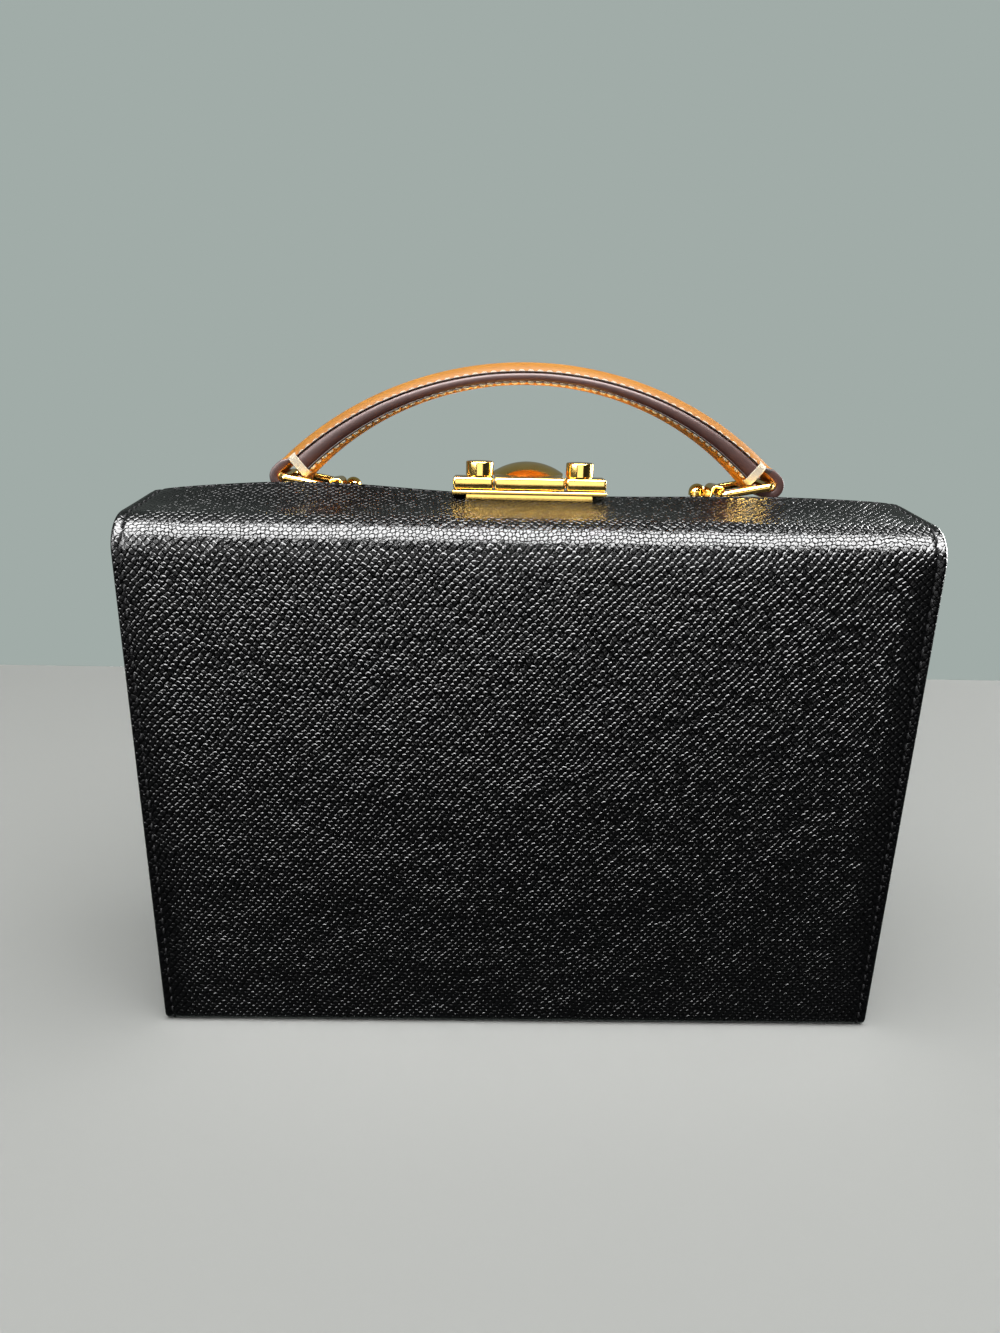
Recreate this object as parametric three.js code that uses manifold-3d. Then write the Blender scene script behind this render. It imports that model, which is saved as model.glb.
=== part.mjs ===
// A small hard-sided box bag: two leather-covered half shells that meet at a crest and open on a
// rod along the bottom, a brass clasp on top, and a stitched strap handle on two brass rings.
// Millimetres, +Z up, X along the bag's width, the near half towards -Y.
import * as THREE from 'three';
import { mergeVertices } from 'three/addons/utils/BufferGeometryUtils.js';
import Module from 'manifold-3d';

const wasm = await Module();
wasm.setup();

// Body
const WIDTH = 190;               // over the painted side edges
const HALF_DEPTH = 29;           // parting plane to the outer face of one shell
const CREST_HEIGHT = 138;        // top of the shells at the parting plane
const TOP_FALL = 6.5;            // degrees that each top panel falls away from the crest
const TOP_RADIUS = 9;            // rounding from the top panel into the face
const FOOT_RADIUS = 2.5;         // rounding from the face into the bottom
const WRAP_THICKNESS = 1.8;      // leather and board that run over top, face and bottom
const FLANGE_THICKNESS = 1.2;    // turned edge of the side panel, stitched to the wrap
const SIDE_THICKNESS = 1.4;      // side panel
const SIDE_RECESS = 4;           // side panel behind the painted edge
const GAP = 0.3;                 // between pieces that touch
const HINGE_RADIUS = 1.5;        // rod along the bottom parting line
const HINGE_SHORT = 5;           // how far the rod stops short of each painted edge

// Clasp
const BASE_HALF_WIDTH = 15.8;    // base plate on the near top panel
const BASE_FRONT = 5.6;          // its front edge, before the parting plane
const BASE_TOP = 139.0;
const DECK_HALF_WIDTH = 19.1;    // wider plate on the base
const DECK_FRONT = 7.0;
const DECK_THICKNESS = 1.0;
const NOSE_HALF_WIDTH = 8.7;     // middle of the bar, the end of the hasp
const SLIDE_LENGTH = 9.9;        // one outer piece of the bar
const BAR_HEIGHT = 2.9;
const BAR_CHAMFER = 0.5;         // along the bar's front edges
const KNOB_RADIUS = 3.4;
const KNOB_HEIGHT = 3.7;
const KNOB_BACK = 3.6;           // knob centre before the parting plane
const HASP_THICKNESS = 2.2;
const HASP_BACK = 18;            // rear end of the hasp plate, behind the parting plane
const DOME_RADIUS = 9.3;         // dome's foot
const DOME_RISE = 2.9;
const DOME_BACK = 9;             // dome centre behind the parting plane
const BARREL_RADIUS = 1.6;       // knuckle of the hasp
const BARREL_HALF_LENGTH = 5;
const HASP_PIN_RADIUS = 0.8;
const PIN_CLEARANCE = 0.2;
const EAR_LENGTH = 3;            // each knuckle of the catch plate
const CATCH_THICKNESS = 0.9;
const CATCH_HALF_WIDTH = 9.5;

// Handle and rings
const HANDLE_BACK = 10.5;        // handle centre behind the parting plane
const HANDLE_WIDTH = 12.5;
const HANDLE_RADIUS = 94.3;      // outside of the arch
const HANDLE_TOP = 170.3;
const UPPER_THICKNESS = 2.1;     // upper leather, which also makes the end loops
const CORE_THICKNESS = 2.0;      // core with the painted edge, at the arch's top
const CORE_SWELL = 1.7;          // how much thicker the core is at its two ends
const LOWER_THICKNESS = 1.6;     // lower leather
const PLY_GAP = 0.25;
const LOOP_ANGLE = 44;           // degrees from the arch's top to each end loop's centre
const TONGUE_TURN = 160;         // degrees that the end loop turns round the ring
const TONGUE_LENGTH = 4;         // straight end of the loop, up to the end of the core
const CORE_STOP = 2.6;           // degrees that the core ends before the loop's centre
const RING_BAR_RADIUS = 1.0;
const RING_GAP = 0.3;
const RING_REACH = 50.6;         // middle of the bag to the ring's inner bar
const RING_LIFT = 139.1;         // height of the ring's inner bar
const RING_CORNER = 1.6;         // middle line of the ring's corners
const RING_BEVEL = 0.55;         // share of the bar's radius that is bevelled off its square section
const MOUNT_WIDTH = 7;           // bracket along Y
const MOUNT_THICKNESS = 0.8;     // sheet that the bracket is bent from
const MOUNT_PEAK = 0.8;          // how far the bracket's peak stands above its bend round the ring
const MOUNT_LIP = 0.3;           // splay of the bracket's inner foot
const MOUNT_FOOT = 1.3;          // length of the bracket's outer foot
const STUD_RADIUS = 2.2;
const STUD_HEIGHT = 4.0;
const STUD_GAP = 0.4;            // between the stud and the ring's inner bar
const STUD_BEHIND = 6.5;         // stud centre behind the handle's centre

// Facets
const TURNED_SIDES = 32;
const ROD_SIDES = 20;
const ARCH_STEPS = 36;
const BEND_STEPS = 8;
const LOOP_STEPS = 14;
const SMALLEST_RADIUS = 0.1;     // of a bend that an inset would use up
const BORE_OVERHANG = 1;         // how far a bore's cutter passes the piece that it cuts

const RAD = Math.PI / 180;
const fall = TOP_FALL * RAD;

// Materials, one for each finish
const leather = { color: 0x17171a, roughness: 0.5, metalness: 0 };
const edgePaint = { color: 0x1d1d20, roughness: 0.3, metalness: 0 };
const tanLeather = { color: 0xd98a3d, roughness: 0.55, metalness: 0 };
const brownEdge = { color: 0x4c322d, roughness: 0.3, metalness: 0 };
const brass = { color: 0xd9b25a, roughness: 0.2, metalness: 1 };

const bag = new THREE.Group();

function add(name, geometry, look) {
  const mesh = new THREE.Mesh(geometry, new THREE.MeshStandardMaterial(look));
  mesh.name = name;
  bag.add(mesh);
  return mesh;
}

// Height of a top panel's surface at a distance from the parting plane, less an inset
function topHeight(depth, inset = 0) {
  return CREST_HEIGHT - depth * Math.tan(fall) - inset / Math.cos(fall);
}

// Points of an arc, both ends included, angles in degrees
function arc(cx, cy, radius, from, to, steps) {
  const points = [];
  for (let i = 0; i <= steps; i += 1) {
    const angle = (from + ((to - from) * i) / steps) * RAD;
    points.push([cx + radius * Math.cos(angle), cy + radius * Math.sin(angle)]);
  }
  return points;
}

function shapeOf(points) {
  return new THREE.Shape(points.map(([u, v]) => new THREE.Vector2(u, v)));
}

// A shape drawn in (y, z), pushed along X
function alongX(points, x0, x1) {
  const geometry = new THREE.ExtrudeGeometry(shapeOf(points), { depth: x1 - x0, bevelEnabled: false });
  const turn = new THREE.Matrix4().makeBasis(
    new THREE.Vector3(0, 1, 0), new THREE.Vector3(0, 0, 1), new THREE.Vector3(1, 0, 0));
  geometry.applyMatrix4(turn);
  geometry.translate(x0, 0, 0);
  return geometry;
}

// A shape drawn in (x, z), pushed along Y
function alongY(points, y0, y1) {
  const geometry = new THREE.ExtrudeGeometry(shapeOf(points), { depth: y1 - y0, bevelEnabled: false });
  geometry.rotateX(Math.PI / 2);
  geometry.translate(0, y1, 0);
  return geometry;
}

function toSolid(geometry) {
  const bare = geometry.clone();
  bare.deleteAttribute('normal');
  bare.deleteAttribute('uv');
  const merged = mergeVertices(bare, 1e-4);
  const mesh = new wasm.Mesh({
    numProp: 3,
    vertProperties: new Float32Array(merged.attributes.position.array),
    triVerts: new Uint32Array(merged.index.array),
  });
  return new wasm.Manifold(mesh);
}

function fromSolid(solid) {
  const mesh = solid.getMesh();
  const geometry = new THREE.BufferGeometry();
  geometry.setAttribute('position', new THREE.BufferAttribute(new Float32Array(mesh.vertProperties), 3));
  geometry.setIndex(new THREE.BufferAttribute(new Uint32Array(mesh.triVerts), 1));
  geometry.computeVertexNormals();
  return geometry;
}

function join(geometries) {
  return fromSolid(wasm.Manifold.union(geometries.map(toSolid)));
}

function cut(geometry, tools) {
  return fromSolid(toSolid(geometry).subtract(wasm.Manifold.union(tools.map(toSolid))));
}

function box(x0, x1, y0, y1, z0, z1) {
  const geometry = new THREE.BoxGeometry(x1 - x0, y1 - y0, z1 - z0);
  geometry.translate((x0 + x1) / 2, (y0 + y1) / 2, (z0 + z1) / 2);
  return geometry;
}

function rodAlongX(radius, x0, x1, y, z) {
  const geometry = new THREE.CylinderGeometry(radius, radius, x1 - x0, ROD_SIDES);
  geometry.rotateZ(Math.PI / 2);
  geometry.translate((x0 + x1) / 2, y, z);
  return geometry;
}

// The shell's outline from the parting plane over the top, down the face and back along the
// bottom, in (distance from the parting plane, height), moved inwards by an inset
function shellOutline(inset, topStart, bottomEnd) {
  const centreDepth = HALF_DEPTH - TOP_RADIUS;
  const centreHeight = topHeight(centreDepth, TOP_RADIUS);
  const footRadius = Math.max(FOOT_RADIUS - inset, SMALLEST_RADIUS);
  const footDepth = HALF_DEPTH - inset - footRadius;
  return [
    [topStart, topHeight(topStart, inset)],
    ...arc(centreDepth, centreHeight, TOP_RADIUS - inset, 90 - TOP_FALL, 0, BEND_STEPS),
    ...arc(footDepth, inset + footRadius, footRadius, 0, -90, BEND_STEPS / 2),
    [bottomEnd, inset],
  ];
}

// One half shell. side is -1 for the near half and 1 for the far half.
function addShell(name, side) {
  const place = (points) => points.map(([depth, height]) => [side * depth, height]);
  const hingeEdge = HINGE_RADIUS + GAP;
  const half = WIDTH / 2;

  const outside = shellOutline(0, GAP, hingeEdge);
  const inside = shellOutline(WRAP_THICKNESS, GAP, hingeEdge).reverse();
  add(`${name}_wrap`, alongX(place([...outside, ...inside]), -half, half), leather);

  const seat = WRAP_THICKNESS + GAP;
  const panel = [...shellOutline(seat, GAP, hingeEdge), [hingeEdge, 2 * hingeEdge], [GAP, 2 * hingeEdge]];
  const flangeOut = shellOutline(seat, GAP, hingeEdge);
  const flangeIn = shellOutline(seat + FLANGE_THICKNESS, GAP, hingeEdge).reverse();
  for (const [sideName, hand] of [['left', -1], ['right', 1]]) {
    const rim = half - SIDE_RECESS;
    const spans = [[rim - SIDE_THICKNESS, rim], [rim - SIDE_THICKNESS / 2, half]];
    const [panelSpan, flangeSpan] = spans.map((span) => span.map((x) => hand * x).sort((a, b) => a - b));
    const geometry = join([
      alongX(place(panel), ...panelSpan),
      alongX(place([...flangeOut, ...flangeIn]), ...flangeSpan),
    ]);
    add(`${name}_${sideName}_side`, geometry, edgePaint);
  }
}

const deckTop = BASE_TOP + DECK_THICKNESS;
const barBottom = deckTop + GAP;
const barTop = barBottom + BAR_HEIGHT;

function barProfile(front, back) {
  return [
    [back, barBottom],
    [front + BAR_CHAMFER, barBottom],
    [front, barBottom + BAR_CHAMFER],
    [front, barTop - BAR_CHAMFER],
    [front + BAR_CHAMFER, barTop],
    [back, barTop],
  ];
}

// Base and deck are soldered into one plate on the near top panel
function addClaspBase() {
  const base = [
    [-BASE_FRONT, topHeight(BASE_FRONT) + GAP],
    [-GAP, topHeight(GAP) + GAP],
    [-GAP, BASE_TOP + DECK_THICKNESS / 2],
    [-BASE_FRONT, BASE_TOP + DECK_THICKNESS / 2],
  ];
  const deck = box(-DECK_HALF_WIDTH, DECK_HALF_WIDTH, -DECK_FRONT, -GAP, BASE_TOP, deckTop);
  add('clasp_base', join([alongX(base, -BASE_HALF_WIDTH, BASE_HALF_WIDTH), deck]), brass);
}

// A slide is one outer piece of the bar with its knob
function addSlide(name, hand) {
  const inner = NOSE_HALF_WIDTH + GAP;
  const span = [hand * inner, hand * (inner + SLIDE_LENGTH)].sort((a, b) => a - b);
  const bar = alongX(barProfile(-DECK_FRONT, -GAP), ...span);
  const profile = [
    new THREE.Vector2(0, barTop - BAR_HEIGHT / 2),
    new THREE.Vector2(KNOB_RADIUS, barTop - BAR_HEIGHT / 2),
    new THREE.Vector2(KNOB_RADIUS, barTop + KNOB_HEIGHT - BAR_CHAMFER),
    new THREE.Vector2(KNOB_RADIUS - BAR_CHAMFER, barTop + KNOB_HEIGHT),
    new THREE.Vector2(0, barTop + KNOB_HEIGHT),
  ];
  const knob = new THREE.LatheGeometry(profile, TURNED_SIDES);
  knob.rotateX(Math.PI / 2);
  knob.translate(hand * (inner + KNOB_RADIUS), -KNOB_BACK, 0);
  const trim = box(-WIDTH, WIDTH, -GAP, HALF_DEPTH, 0, barTop);
  add(name, join([bar, cut(knob, [trim])]), brass);
}

const pinY = HASP_BACK + BARREL_RADIUS;
const pinZ = topHeight(pinY) + GAP + CATCH_THICKNESS + GAP + BARREL_RADIUS;

// The hasp reaches from its pin on the far half to the nose on the near half, with the dome
function addHasp() {
  const dome = [new THREE.Vector2(0, barTop - HASP_THICKNESS / 2)];
  dome.push(new THREE.Vector2(DOME_RADIUS, barTop - HASP_THICKNESS / 2));
  const ball = (DOME_RADIUS ** 2 + DOME_RISE ** 2) / (2 * DOME_RISE);
  const rim = Math.acos(DOME_RADIUS / ball) / RAD;
  for (const [r, z] of arc(0, barTop + DOME_RISE - ball, ball, rim, 90, BEND_STEPS)) {
    dome.push(new THREE.Vector2(Math.max(r, 0), z));
  }
  dome[dome.length - 1].x = 0;
  const cap = new THREE.LatheGeometry(dome, TURNED_SIDES);
  cap.rotateX(Math.PI / 2);
  cap.translate(0, DOME_BACK, 0);

  const nose = alongX(barProfile(-DECK_FRONT, 0), -NOSE_HALF_WIDTH, NOSE_HALF_WIDTH);
  const plate = box(-NOSE_HALF_WIDTH, NOSE_HALF_WIDTH, -GAP, HASP_BACK, barTop - HASP_THICKNESS, barTop);
  const arm = box(-BARREL_HALF_LENGTH, BARREL_HALF_LENGTH, HASP_BACK - HASP_THICKNESS, pinY,
    pinZ, barTop);
  const barrel = rodAlongX(BARREL_RADIUS, -BARREL_HALF_LENGTH, BARREL_HALF_LENGTH, pinY, pinZ);
  const bore = rodAlongX(HASP_PIN_RADIUS + PIN_CLEARANCE, -BARREL_HALF_LENGTH - BORE_OVERHANG,
    BARREL_HALF_LENGTH + BORE_OVERHANG, pinY, pinZ);
  add('hasp', cut(join([cap, nose, plate, arm, barrel]), [bore]), brass);
}

// The catch plate lies on the far top panel and holds the hasp's pin in two ears
function addCatchPlate() {
  const rear = pinY + BARREL_RADIUS;
  const plate = [
    [GAP, topHeight(GAP) + GAP],
    [rear, topHeight(rear) + GAP],
    [rear, topHeight(rear) + GAP + CATCH_THICKNESS],
    [GAP, topHeight(GAP) + GAP + CATCH_THICKNESS],
  ];
  const pieces = [alongX(plate, -CATCH_HALF_WIDTH, CATCH_HALF_WIDTH)];
  const bores = [];
  for (const hand of [-1, 1]) {
    const x0 = BARREL_HALF_LENGTH + GAP;
    const [a, b] = [hand * x0, hand * (x0 + EAR_LENGTH)].sort((p, q) => p - q);
    pieces.push(rodAlongX(BARREL_RADIUS, a, b, pinY, pinZ));
    pieces.push(box(a, b, pinY - BARREL_RADIUS, pinY + BARREL_RADIUS,
      topHeight(pinY) + GAP + CATCH_THICKNESS / 2, pinZ));
    bores.push(rodAlongX(HASP_PIN_RADIUS + PIN_CLEARANCE, a - BORE_OVERHANG, b + BORE_OVERHANG,
      pinY, pinZ));
  }
  add('catch_plate', cut(join(pieces), bores), brass);
  const half = BARREL_HALF_LENGTH + GAP + EAR_LENGTH;
  add('hasp_pin', rodAlongX(HASP_PIN_RADIUS, -half, half, pinY, pinZ), brass);
}

// Arch of the handle: a circle about a point below, angles in degrees from its top
const archZ = HANDLE_TOP - HANDLE_RADIUS;
const handleFront = HANDLE_BACK - HANDLE_WIDTH / 2;
const handleRear = HANDLE_BACK + HANDLE_WIDTH / 2;
const loopInner = RING_BAR_RADIUS + RING_GAP;
const loopOuter = loopInner + UPPER_THICKNESS;
const loopReach = HANDLE_RADIUS - loopOuter;
const loopX = loopReach * Math.sin(LOOP_ANGLE * RAD);
const loopZ = archZ + loopReach * Math.cos(LOOP_ANGLE * RAD);

// A line along the arch at a depth under its outside, swollen inwards towards both ends
function archLine(depth, swell, halfAngle) {
  const points = [];
  for (let i = 0; i <= ARCH_STEPS; i += 1) {
    const share = (2 * i) / ARCH_STEPS - 1;
    const radius = HANDLE_RADIUS - depth - swell * share ** 2;
    const angle = share * halfAngle * RAD;
    points.push([-radius * Math.sin(angle), archZ + radius * Math.cos(angle)]);
  }
  return points;
}

// A layer of the arch between two of its lines, each given as [depth, swell]
function archLayer(over, under, halfAngle) {
  return [...archLine(...over, halfAngle), ...archLine(...under, halfAngle).reverse()];
}

// The upper leather runs round both ring bars, and its two ends lie under the lower leather
function addHandle() {
  const endAt = (hand, radius, angle) => [
    hand * (loopX + radius * Math.sin(angle * RAD)), loopZ + radius * Math.cos(angle * RAD)];
  const curl = (hand, radius) => {
    const points = [];
    for (let i = 0; i <= LOOP_STEPS; i += 1) {
      points.push(endAt(hand, radius, LOOP_ANGLE + (TONGUE_TURN * i) / LOOP_STEPS));
    }
    const last = LOOP_ANGLE + TONGUE_TURN;
    const [x, z] = points[points.length - 1];
    points.push([x + hand * TONGUE_LENGTH * Math.cos(last * RAD), z - TONGUE_LENGTH * Math.sin(last * RAD)]);
    return points;
  };
  const outside = archLine(0, 0, LOOP_ANGLE).reverse().slice(1, -1);
  const inside = archLine(UPPER_THICKNESS, 0, LOOP_ANGLE).slice(1, -1);
  const outline = [
    ...curl(-1, loopOuter).reverse(), ...outside, ...curl(1, loopOuter),
    ...curl(1, loopInner).reverse(), ...inside, ...curl(-1, loopInner),
  ];
  add('handle_upper', alongY(outline, handleFront, handleRear), tanLeather);

  const coreTop = UPPER_THICKNESS + PLY_GAP;
  const coreUnder = coreTop + CORE_THICKNESS;
  const reach = LOOP_ANGLE - CORE_STOP;
  add('handle_core', alongY(archLayer([coreTop, 0], [coreUnder, CORE_SWELL], reach),
    handleFront, handleRear), brownEdge);
  const lowerTop = coreUnder + PLY_GAP;
  const lowerUnder = lowerTop + LOWER_THICKNESS;
  add('handle_lower', alongY(archLayer([lowerTop, CORE_SWELL], [lowerUnder, CORE_SWELL], reach),
    handleFront, handleRear), tanLeather);
}

// A ring is a rounded rectangle of round bar, tilted from the mount up to the handle's loop
function addRing(name, hand) {
  const length = Math.hypot(loopX - RING_REACH, loopZ - RING_LIFT);
  const tilt = Math.atan2(loopZ - RING_LIFT, loopX - RING_REACH);
  const halfLength = length / 2;
  const halfWidth = HANDLE_WIDTH / 2 + RING_GAP + RING_BAR_RADIUS;
  const shape = new THREE.Shape();
  const hole = new THREE.Path();
  const bevel = RING_BAR_RADIUS * RING_BEVEL;
  const draw = (path, grow) => {
    const l = halfLength + grow;
    const w = halfWidth + grow;
    const r = RING_CORNER + grow;
    path.moveTo(-l + r, -w);
    path.lineTo(l - r, -w);
    path.absarc(l - r, -w + r, r, -Math.PI / 2, 0, false);
    path.lineTo(l, w - r);
    path.absarc(l - r, w - r, r, 0, Math.PI / 2, false);
    path.lineTo(-l + r, w);
    path.absarc(-l + r, w - r, r, Math.PI / 2, Math.PI, false);
    path.lineTo(-l, -w + r);
    path.absarc(-l + r, -w + r, r, Math.PI, 1.5 * Math.PI, false);
  };
  draw(shape, RING_BAR_RADIUS - bevel);
  draw(hole, -(RING_BAR_RADIUS - bevel));
  shape.holes.push(hole);
  const depth = 2 * (RING_BAR_RADIUS - bevel);
  const geometry = new THREE.ExtrudeGeometry(shape, {
    depth, bevelEnabled: true, bevelSize: bevel, bevelThickness: bevel, bevelSegments: 2, curveSegments: 5,
  });
  geometry.translate(0, 0, -depth / 2);
  geometry.rotateY(-hand * tilt);
  geometry.translate(hand * (loopX + RING_REACH) / 2, HANDLE_BACK, (loopZ + RING_LIFT) / 2);
  add(name, geometry, brass);
}

// A bent bracket holds the ring's inner bar down on the far top panel
function addRingMount(name, hand) {
  const clear = RING_BAR_RADIUS + GAP;
  const front = HANDLE_BACK - MOUNT_WIDTH / 2;
  const seat = topHeight(front) + GAP;
  const top = RING_LIFT + clear;
  const inner = RING_REACH - clear;
  const outer = RING_REACH + clear;
  const t = MOUNT_THICKNESS;
  const outline = [
    [inner - t - MOUNT_LIP, seat],
    [inner - t, top + MOUNT_PEAK],
    [RING_REACH + t, top + MOUNT_PEAK - MOUNT_LIP / 2],
    [outer + t + MOUNT_FOOT, seat + t],
    [outer + t + MOUNT_FOOT, seat],
    [outer + t, seat],
    [outer - MOUNT_LIP, top - t / 2],
    [RING_REACH, top],
    [inner, top],
    [inner, seat],
  ];
  add(name, alongY(outline.map(([x, z]) => [hand * x, z]), front, front + MOUNT_WIDTH), brass);
}

function addStud(name, hand) {
  const x = RING_REACH - RING_BAR_RADIUS - STUD_GAP - STUD_RADIUS;
  const y = HANDLE_BACK + STUD_BEHIND;
  const seat = topHeight(y - STUD_RADIUS) + GAP;
  const profile = [new THREE.Vector2(0, seat), new THREE.Vector2(STUD_RADIUS, seat)];
  for (const [r, z] of arc(0, seat + STUD_HEIGHT - STUD_RADIUS, STUD_RADIUS, 0, 90, BEND_STEPS)) {
    profile.push(new THREE.Vector2(r, z));
  }
  profile[profile.length - 1].x = 0;
  const geometry = new THREE.LatheGeometry(profile, TURNED_SIDES);
  geometry.rotateX(Math.PI / 2);
  geometry.translate(hand * x, y, 0);
  add(name, geometry, brass);
}

addShell('near', -1);
addShell('far', 1);
add('bottom_hinge', rodAlongX(HINGE_RADIUS, -WIDTH / 2 + HINGE_SHORT, WIDTH / 2 - HINGE_SHORT,
  0, HINGE_RADIUS + GAP), brass);
addClaspBase();
addSlide('left_slide', -1);
addSlide('right_slide', 1);
addHasp();
addCatchPlate();
addHandle();
for (const [name, hand] of [['left', -1], ['right', 1]]) {
  addRing(`${name}_ring`, hand);
  addRingMount(`${name}_ring_mount`, hand);
  addStud(`${name}_mount_stud`, hand);
}

export default bag;
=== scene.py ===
import math

import bmesh
import bpy
import numpy as np
from mathutils import Matrix, Vector


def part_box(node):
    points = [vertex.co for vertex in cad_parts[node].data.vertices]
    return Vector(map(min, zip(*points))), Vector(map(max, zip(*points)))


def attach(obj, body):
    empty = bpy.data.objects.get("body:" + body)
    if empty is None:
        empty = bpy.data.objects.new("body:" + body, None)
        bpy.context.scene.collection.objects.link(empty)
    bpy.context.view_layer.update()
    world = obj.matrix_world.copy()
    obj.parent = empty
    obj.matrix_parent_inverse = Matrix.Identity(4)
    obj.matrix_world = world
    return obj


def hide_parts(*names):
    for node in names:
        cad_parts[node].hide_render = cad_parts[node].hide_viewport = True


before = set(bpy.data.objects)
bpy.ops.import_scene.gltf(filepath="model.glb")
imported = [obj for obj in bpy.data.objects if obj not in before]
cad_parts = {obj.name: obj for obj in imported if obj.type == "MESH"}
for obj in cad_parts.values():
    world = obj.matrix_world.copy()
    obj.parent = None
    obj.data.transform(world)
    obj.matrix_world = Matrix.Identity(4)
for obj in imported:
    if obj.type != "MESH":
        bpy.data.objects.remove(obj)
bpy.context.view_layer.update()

# Lengths below are in millimetres, and MM turns them into Blender's metres.
MM = 0.001

# Sizes read from the frame
wrap_low, wrap_high = (np.array(corner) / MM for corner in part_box("near_wrap"))
HALF_WIDTH = wrap_high[0]
HALF_DEPTH = -wrap_low[1]
PARTING = -wrap_high[1]
CREST = wrap_high[2]
FLANGE_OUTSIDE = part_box("near_right_side")[1][0] / MM
handle_low, handle_high = (np.array(corner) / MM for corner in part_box("handle_upper"))
HANDLE_TOP = handle_high[2]
HANDLE_WIDTH = handle_high[1] - handle_low[1]
HANDLE_BACK = (handle_high[1] + handle_low[1]) / 2

# Shell
TOP_FALL = math.radians(6.5)
TOP_RADIUS = 9.0
FOOT_RADIUS = 2.5
WRAP_THICKNESS = 1.8
FLANGE_THICKNESS = 1.5
HINGE_EDGE = 1.8
SIDE_RECESS = 4.0
STITCH_PITCH = 3.0
STITCH_LENGTH = 2.1
STITCH_RADIUS = 0.27
STITCH_FROM_SIDE = 2.3
STITCH_FROM_CREST = 1.4

# Handle: depths are measured from the outside of the arch, and swells are added towards its two ends
ARCH_RADIUS = 94.3
ARCH_Z = HANDLE_TOP - ARCH_RADIUS
UPPER_THICKNESS = 2.1
UPPER_CROWN = 0.35
CROWN_SHARE = 0.84
LOOP_ANGLE = 44.0
LOOP_INNER = 1.3
TONGUE_TURN = 160.0
TONGUE_LENGTH = 4.6
CORE_REACH = 41.4
CORE_DEPTH = 2.2
CORE_THICKNESS = 2.2
CORE_SWELL = 1.75
LOWER_CROWN = 0.7
LOWER_SWELL = 1.2
EDGE_SHARE = 0.11

# Hasp's polished dome and the clasp's knobs
DOME_RADIUS = 9.3
DOME_RISE = 2.9
DOME_BACK = 9.0
KNOB_HEIGHT = 3.7

# Camera at the photograph's viewing angle, for a frame 1333 pixels high
FRAME_HEIGHT = 1333
FOCAL_PIXELS = 850.0
SENSOR = 36.0
CAMERA_PLACE = (-10.09, -219.58, 161.89)
CAMERA_PITCH = 17.54
CAMERA_YAW = 0.99
CAMERA_ROLL = -1.22


# Nodes and colours

def linear(hex_colour):
    """An sRGB hex colour as linear RGBA."""
    channels = [int(hex_colour[i:i + 2], 16) / 255 for i in (1, 3, 5)]
    return tuple(c / 12.92 if c <= 0.04045 else ((c + 0.055) / 1.055) ** 2.4 for c in channels) + (1.0,)


def add_node(tree, kind, inputs=None, **settings):
    """Adds a node; an input is a value to set or a socket to link from."""
    node = tree.nodes.new(kind)
    for key, value in settings.items():
        setattr(node, key, value)
    for key, value in (inputs or {}).items():
        if isinstance(value, bpy.types.NodeSocket):
            tree.links.new(value, node.inputs[key])
        else:
            node.inputs[key].default_value = value
    return node


def new_material(name):
    material = bpy.data.materials.new(name)
    material.use_nodes = True
    tree = material.node_tree
    tree.nodes.clear()
    shader = add_node(tree, "ShaderNodeBsdfPrincipled")
    add_node(tree, "ShaderNodeOutputMaterial", {"Surface": shader.outputs[0]})
    return material, tree, shader


def mix_colours(tree, factor, first, second):
    mix = add_node(tree, "ShaderNodeMix", {0: factor, 6: first, 7: second}, data_type="RGBA")
    return mix.outputs[2]


def maths(tree, operation, *values):
    return add_node(tree, "ShaderNodeMath", dict(enumerate(values)), operation=operation).outputs[0]


# Materials

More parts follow.
